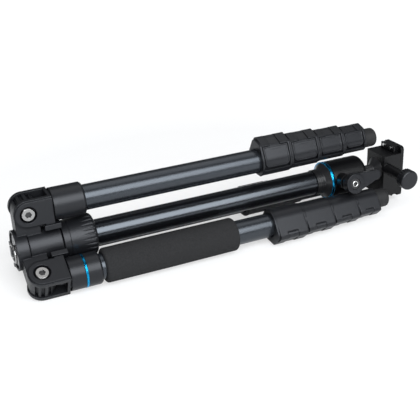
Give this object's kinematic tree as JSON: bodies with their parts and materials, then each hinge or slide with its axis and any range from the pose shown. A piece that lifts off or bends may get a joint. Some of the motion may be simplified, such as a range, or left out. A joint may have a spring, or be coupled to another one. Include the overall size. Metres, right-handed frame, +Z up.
{
  "type": "tripod",
  "caption": "Travel tripod folded round its centre column, with flip-lock legs, a foam-gripped monopod leg, a ball head, a dovetail clamp and a camera plate.",
  "frame": {"origin": "Bottom centre of the folded tripod's bounding box.", "axes": "X along the centre column from the hub to the head, Z up through leg b, Y towards the back; leg a lies at the front."},
  "size_m": [0.445, 0.113, 0.1014],
  "materials": {
    "body_plastic": "fine matte texture",
    "tube_metal": "gloss black anodised",
    "foam": "soft closed-cell foam, very matte",
    "foot_rubber": "matte",
    "accent": "anodised cyan, satin",
    "bright_steel": "polished",
    "grey_metal": "satin anodised",
    "ball_metal": "hard black anodised, satin",
    "clamp_metal": "bead-blasted black anodised"
  },
  "bodies": {
    "hub": {"spider": "body_plastic", "pivot_bolts": "bright_steel"},
    "leg_a": {"leg_a_casting": "body_plastic", "leg_a_top_tube": "tube_metal", "leg_a_lock_1": "body_plastic", "leg_a_grip": "foam", "leg_a_accent_ring": "accent"},
    "leg_a_latch_slide": {"leg_a_latch": "body_plastic"},
    "leg_a_tube_2": {"leg_a_section_2": "body_plastic"},
    "leg_a_tube_3": {"leg_a_section_3": "body_plastic"},
    "leg_a_tube_4": {"leg_a_section_4": "body_plastic"},
    "leg_a_tube_5": {"leg_a_section_5": "tube_metal", "leg_a_foot": "foot_rubber"},
    "leg_a_lock_lever_1": {"leg_a_lever_1": "body_plastic"},
    "leg_a_lock_lever_2": {"leg_a_lever_2": "body_plastic"},
    "leg_a_lock_lever_3": {"leg_a_lever_3": "body_plastic"},
    "leg_a_lock_lever_4": {"leg_a_lever_4": "body_plastic"},
    "leg_b": {"leg_b_casting": "body_plastic", "leg_b_top_tube": "tube_metal", "leg_b_lock_1": "body_plastic"},
    "leg_b_latch_slide": {"leg_b_latch": "body_plastic"},
    "leg_b_tube_2": {"leg_b_section_2": "body_plastic"},
    "leg_b_tube_3": {"leg_b_section_3": "body_plastic"},
    "leg_b_tube_4": {"leg_b_section_4": "body_plastic"},
    "leg_b_tube_5": {"leg_b_section_5": "tube_metal", "leg_b_foot": "foot_rubber"},
    "leg_b_lock_lever_1": {"leg_b_lever_1": "body_plastic"},
    "leg_b_lock_lever_2": {"leg_b_lever_2": "body_plastic"},
    "leg_b_lock_lever_3": {"leg_b_lever_3": "body_plastic"},
    "leg_b_lock_lever_4": {"leg_b_lever_4": "body_plastic"},
    "leg_c": {"leg_c_casting": "body_plastic", "leg_c_top_tube": "tube_metal", "leg_c_lock_1": "body_plastic"},
    "leg_c_latch_slide": {"leg_c_latch": "body_plastic"},
    "leg_c_tube_2": {"leg_c_section_2": "body_plastic"},
    "leg_c_tube_3": {"leg_c_section_3": "body_plastic"},
    "leg_c_tube_4": {"leg_c_section_4": "body_plastic"},
    "leg_c_tube_5": {"leg_c_section_5": "tube_metal", "leg_c_foot": "foot_rubber"},
    "leg_c_lock_lever_1": {"leg_c_lever_1": "body_plastic"},
    "leg_c_lock_lever_2": {"leg_c_lever_2": "body_plastic"},
    "leg_c_lock_lever_3": {"leg_c_lever_3": "body_plastic"},
    "leg_c_lock_lever_4": {"leg_c_lever_4": "body_plastic"},
    "column": {"column_tube": "tube_metal", "column_end_plug": "grey_metal", "head_base": "grey_metal", "head_accent_ring": "accent"},
    "collar": {"column_lock_collar": "body_plastic"},
    "hook": {"column_hook": "bright_steel"},
    "housing": {"head_housing": "body_plastic"},
    "lock_lever": {"head_lever": "body_plastic", "head_lever_screw": "bright_steel"},
    "cup": {"ball_cup": "grey_metal"},
    "ball": {"ball": "ball_metal"},
    "clamp": {"clamp_stem": "ball_metal", "clamp_body": "clamp_metal"},
    "jaw": {"clamp_jaw": "clamp_metal"},
    "knob": {"clamp_knob": "body_plastic"},
    "plate": {"quick_plate": "clamp_metal"},
    "screw": {"plate_screw": "bright_steel"}
  },
  "joints": [
    {"name": "leg_a_swing", "type": "hinge", "parent": "hub", "child": "leg_a", "pos_m": [-0.2034, -0.03395, 0.01918], "axis": [0, 0.5, -0.866], "range_deg": [0, 157]},
    {"name": "leg_a_latch_pull", "type": "slide", "parent": "leg_a", "child": "leg_a_latch_slide", "axis": [1, 0, 0], "range_m": [0, 0.0025], "stiffness_N_per_m": 900, "springref_m": -0.002},
    {"name": "leg_a_slide_1", "type": "slide", "parent": "leg_a", "child": "leg_a_tube_2", "axis": [1, 0, 0], "range_m": [0, 0.2043]},
    {"name": "leg_a_slide_2", "type": "slide", "parent": "leg_a_tube_2", "child": "leg_a_tube_3", "axis": [1, 0, 0], "range_m": [0, 0.2368]},
    {"name": "leg_a_slide_3", "type": "slide", "parent": "leg_a_tube_3", "child": "leg_a_tube_4", "axis": [1, 0, 0], "range_m": [0, 0.2676]},
    {"name": "leg_a_slide_4", "type": "slide", "parent": "leg_a_tube_4", "child": "leg_a_tube_5", "axis": [1, 0, 0], "range_m": [0, 0.2951]},
    {"name": "leg_a_lock_1", "type": "hinge", "parent": "leg_a", "child": "leg_a_lock_lever_1", "pos_m": [0.05175, -0.05279, 0.01378], "axis": [-1, 0, 0], "range_deg": [0, 100]},
    {"name": "leg_a_lock_2", "type": "hinge", "parent": "leg_a_tube_2", "child": "leg_a_lock_lever_2", "pos_m": [0.08628, -0.05115, 0.01425], "axis": [-1, 0, 0], "range_deg": [0, 100]},
    {"name": "leg_a_lock_3", "type": "hinge", "parent": "leg_a_tube_3", "child": "leg_a_lock_lever_3", "pos_m": [0.11943, -0.04952, 0.01472], "axis": [-1, 0, 0], "range_deg": [0, 100]},
    {"name": "leg_a_lock_4", "type": "hinge", "parent": "leg_a_tube_4", "child": "leg_a_lock_lever_4", "pos_m": [0.1495, -0.04789, 0.01519], "axis": [-1, 0, 0], "range_deg": [0, 100]},
    {"name": "leg_b_swing", "type": "hinge", "parent": "hub", "child": "leg_b", "pos_m": [-0.2034, 0, 0.07798], "axis": [0, -1, 0], "range_deg": [0, 157]},
    {"name": "leg_b_latch_pull", "type": "slide", "parent": "leg_b", "child": "leg_b_latch_slide", "axis": [1, 0, 0], "range_m": [0, 0.0025], "stiffness_N_per_m": 900, "springref_m": -0.002},
    {"name": "leg_b_slide_1", "type": "slide", "parent": "leg_b", "child": "leg_b_tube_2", "axis": [1, 0, 0], "range_m": [0, 0.2088]},
    {"name": "leg_b_slide_2", "type": "slide", "parent": "leg_b_tube_2", "child": "leg_b_tube_3", "axis": [1, 0, 0], "range_m": [0, 0.2413]},
    {"name": "leg_b_slide_3", "type": "slide", "parent": "leg_b_tube_3", "child": "leg_b_tube_4", "axis": [1, 0, 0], "range_m": [0, 0.2721]},
    {"name": "leg_b_slide_4", "type": "slide", "parent": "leg_b_tube_4", "child": "leg_b_tube_5", "axis": [1, 0, 0], "range_m": [0, 0.2996]},
    {"name": "leg_b_lock_1", "type": "hinge", "parent": "leg_b", "child": "leg_b_lock_lever_1", "pos_m": [0.05625, 0.00474, 0.097], "axis": [-1, 0, 0], "range_deg": [0, 100]},
    {"name": "leg_b_lock_2", "type": "hinge", "parent": "leg_b_tube_2", "child": "leg_b_lock_lever_2", "pos_m": [0.09078, 0.00433, 0.09535], "axis": [-1, 0, 0], "range_deg": [0, 100]},
    {"name": "leg_b_lock_3", "type": "hinge", "parent": "leg_b_tube_3", "child": "leg_b_lock_lever_3", "pos_m": [0.12394, 0.00392, 0.0937], "axis": [-1, 0, 0], "range_deg": [0, 100]},
    {"name": "leg_b_lock_4", "type": "hinge", "parent": "leg_b_tube_4", "child": "leg_b_lock_lever_4", "pos_m": [0.154, 0.00351, 0.09205], "axis": [-1, 0, 0], "range_deg": [0, 100]},
    {"name": "leg_c_swing", "type": "hinge", "parent": "hub", "child": "leg_c", "pos_m": [-0.2034, 0.03395, 0.01918], "axis": [0, 0.5, 0.866], "range_deg": [0, 157]},
    {"name": "leg_c_latch_pull", "type": "slide", "parent": "leg_c", "child": "leg_c_latch_slide", "axis": [1, 0, 0], "range_m": [0, 0.0025], "stiffness_N_per_m": 900, "springref_m": -0.002},
    {"name": "leg_c_slide_1", "type": "slide", "parent": "leg_c", "child": "leg_c_tube_2", "axis": [1, 0, 0], "range_m": [0, 0.2088]},
    {"name": "leg_c_slide_2", "type": "slide", "parent": "leg_c_tube_2", "child": "leg_c_tube_3", "axis": [1, 0, 0], "range_m": [0, 0.2413]},
    {"name": "leg_c_slide_3", "type": "slide", "parent": "leg_c_tube_3", "child": "leg_c_tube_4", "axis": [1, 0, 0], "range_m": [0, 0.2721]},
    {"name": "leg_c_slide_4", "type": "slide", "parent": "leg_c_tube_4", "child": "leg_c_tube_5", "axis": [1, 0, 0], "range_m": [0, 0.2996]},
    {"name": "leg_c_lock_1", "type": "hinge", "parent": "leg_c", "child": "leg_c_lock_lever_1", "pos_m": [0.05625, 0.04805, 0.00557], "axis": [-1, 0, 0], "range_deg": [0, 100]},
    {"name": "leg_c_lock_2", "type": "hinge", "parent": "leg_c_tube_2", "child": "leg_c_lock_lever_2", "pos_m": [0.09078, 0.04682, 0.00675], "axis": [-1, 0, 0], "range_deg": [0, 100]},
    {"name": "leg_c_lock_3", "type": "hinge", "parent": "leg_c_tube_3", "child": "leg_c_lock_lever_3", "pos_m": [0.12394, 0.0456, 0.00793], "axis": [-1, 0, 0], "range_deg": [0, 100]},
    {"name": "leg_c_lock_4", "type": "hinge", "parent": "leg_c_tube_4", "child": "leg_c_lock_lever_4", "pos_m": [0.154, 0.04438, 0.00911], "axis": [-1, 0, 0], "range_deg": [0, 100]},
    {"name": "column_slide", "type": "slide", "parent": "hub", "child": "column", "axis": [1, 0, 0], "range_m": [-0.13, 0]},
    {"name": "column_lock_twist", "type": "hinge", "parent": "hub", "child": "collar", "pos_m": [-0.1574, 0, 0.03878], "axis": [1, 0, 0], "range_deg": [0, 180]},
    {"name": "hook_swing", "type": "hinge", "parent": "column", "child": "hook", "pos_m": [-0.2206, 0, 0.03878], "axis": [0, 0, 1], "range_deg": [-180, 0]},
    {"name": "head_pan", "type": "hinge", "parent": "column", "child": "housing", "pos_m": [0.1251, 0, 0.03878], "axis": [-1, 0, 0], "range_deg": [0, 30]},
    {"name": "head_lock_turn", "type": "hinge", "parent": "housing", "child": "lock_lever", "pos_m": [0.1338, -0.03717, 0.04668], "axis": [0, -0.9781, 0.2079], "range_deg": [0, 60]},
    {"name": "ball_spin", "type": "hinge", "parent": "housing", "child": "cup", "pos_m": [0.1598, 0, 0.03878], "axis": [1, 0, 0], "range_deg": [0, 350]},
    {"name": "ball_tilt", "type": "hinge", "parent": "cup", "child": "ball", "pos_m": [0.1598, 0, 0.03878], "axis": [0, 1, 0], "range_deg": [0, 25]},
    {"name": "stem_spin", "type": "hinge", "parent": "ball", "child": "clamp", "pos_m": [0.1798, 0, 0.03878], "axis": [1, 0, 0], "range_deg": [0, 350]},
    {"name": "jaw_slide", "type": "slide", "parent": "clamp", "child": "jaw", "axis": [0, -1, 0], "range_m": [0, 0.003]},
    {"name": "knob_turn", "type": "hinge", "parent": "jaw", "child": "knob", "pos_m": [0.1958, -0.05, 0.04278], "axis": [0, -1, 0], "range_deg": [0, 720]},
    {"name": "plate_slide", "type": "slide", "parent": "clamp", "child": "plate", "axis": [0, 0, 1], "range_m": [-0.0027, 0.01]},
    {"name": "camera_screw_turn", "type": "hinge", "parent": "plate", "child": "screw", "pos_m": [0.217, 0, 0.03878], "axis": [1, 0, 0], "continuous": true}
  ],
  "couplings": [
    {"joint": "knob_turn", "follows": "jaw_slide", "rad_per_m": 4188.8}
  ]
}
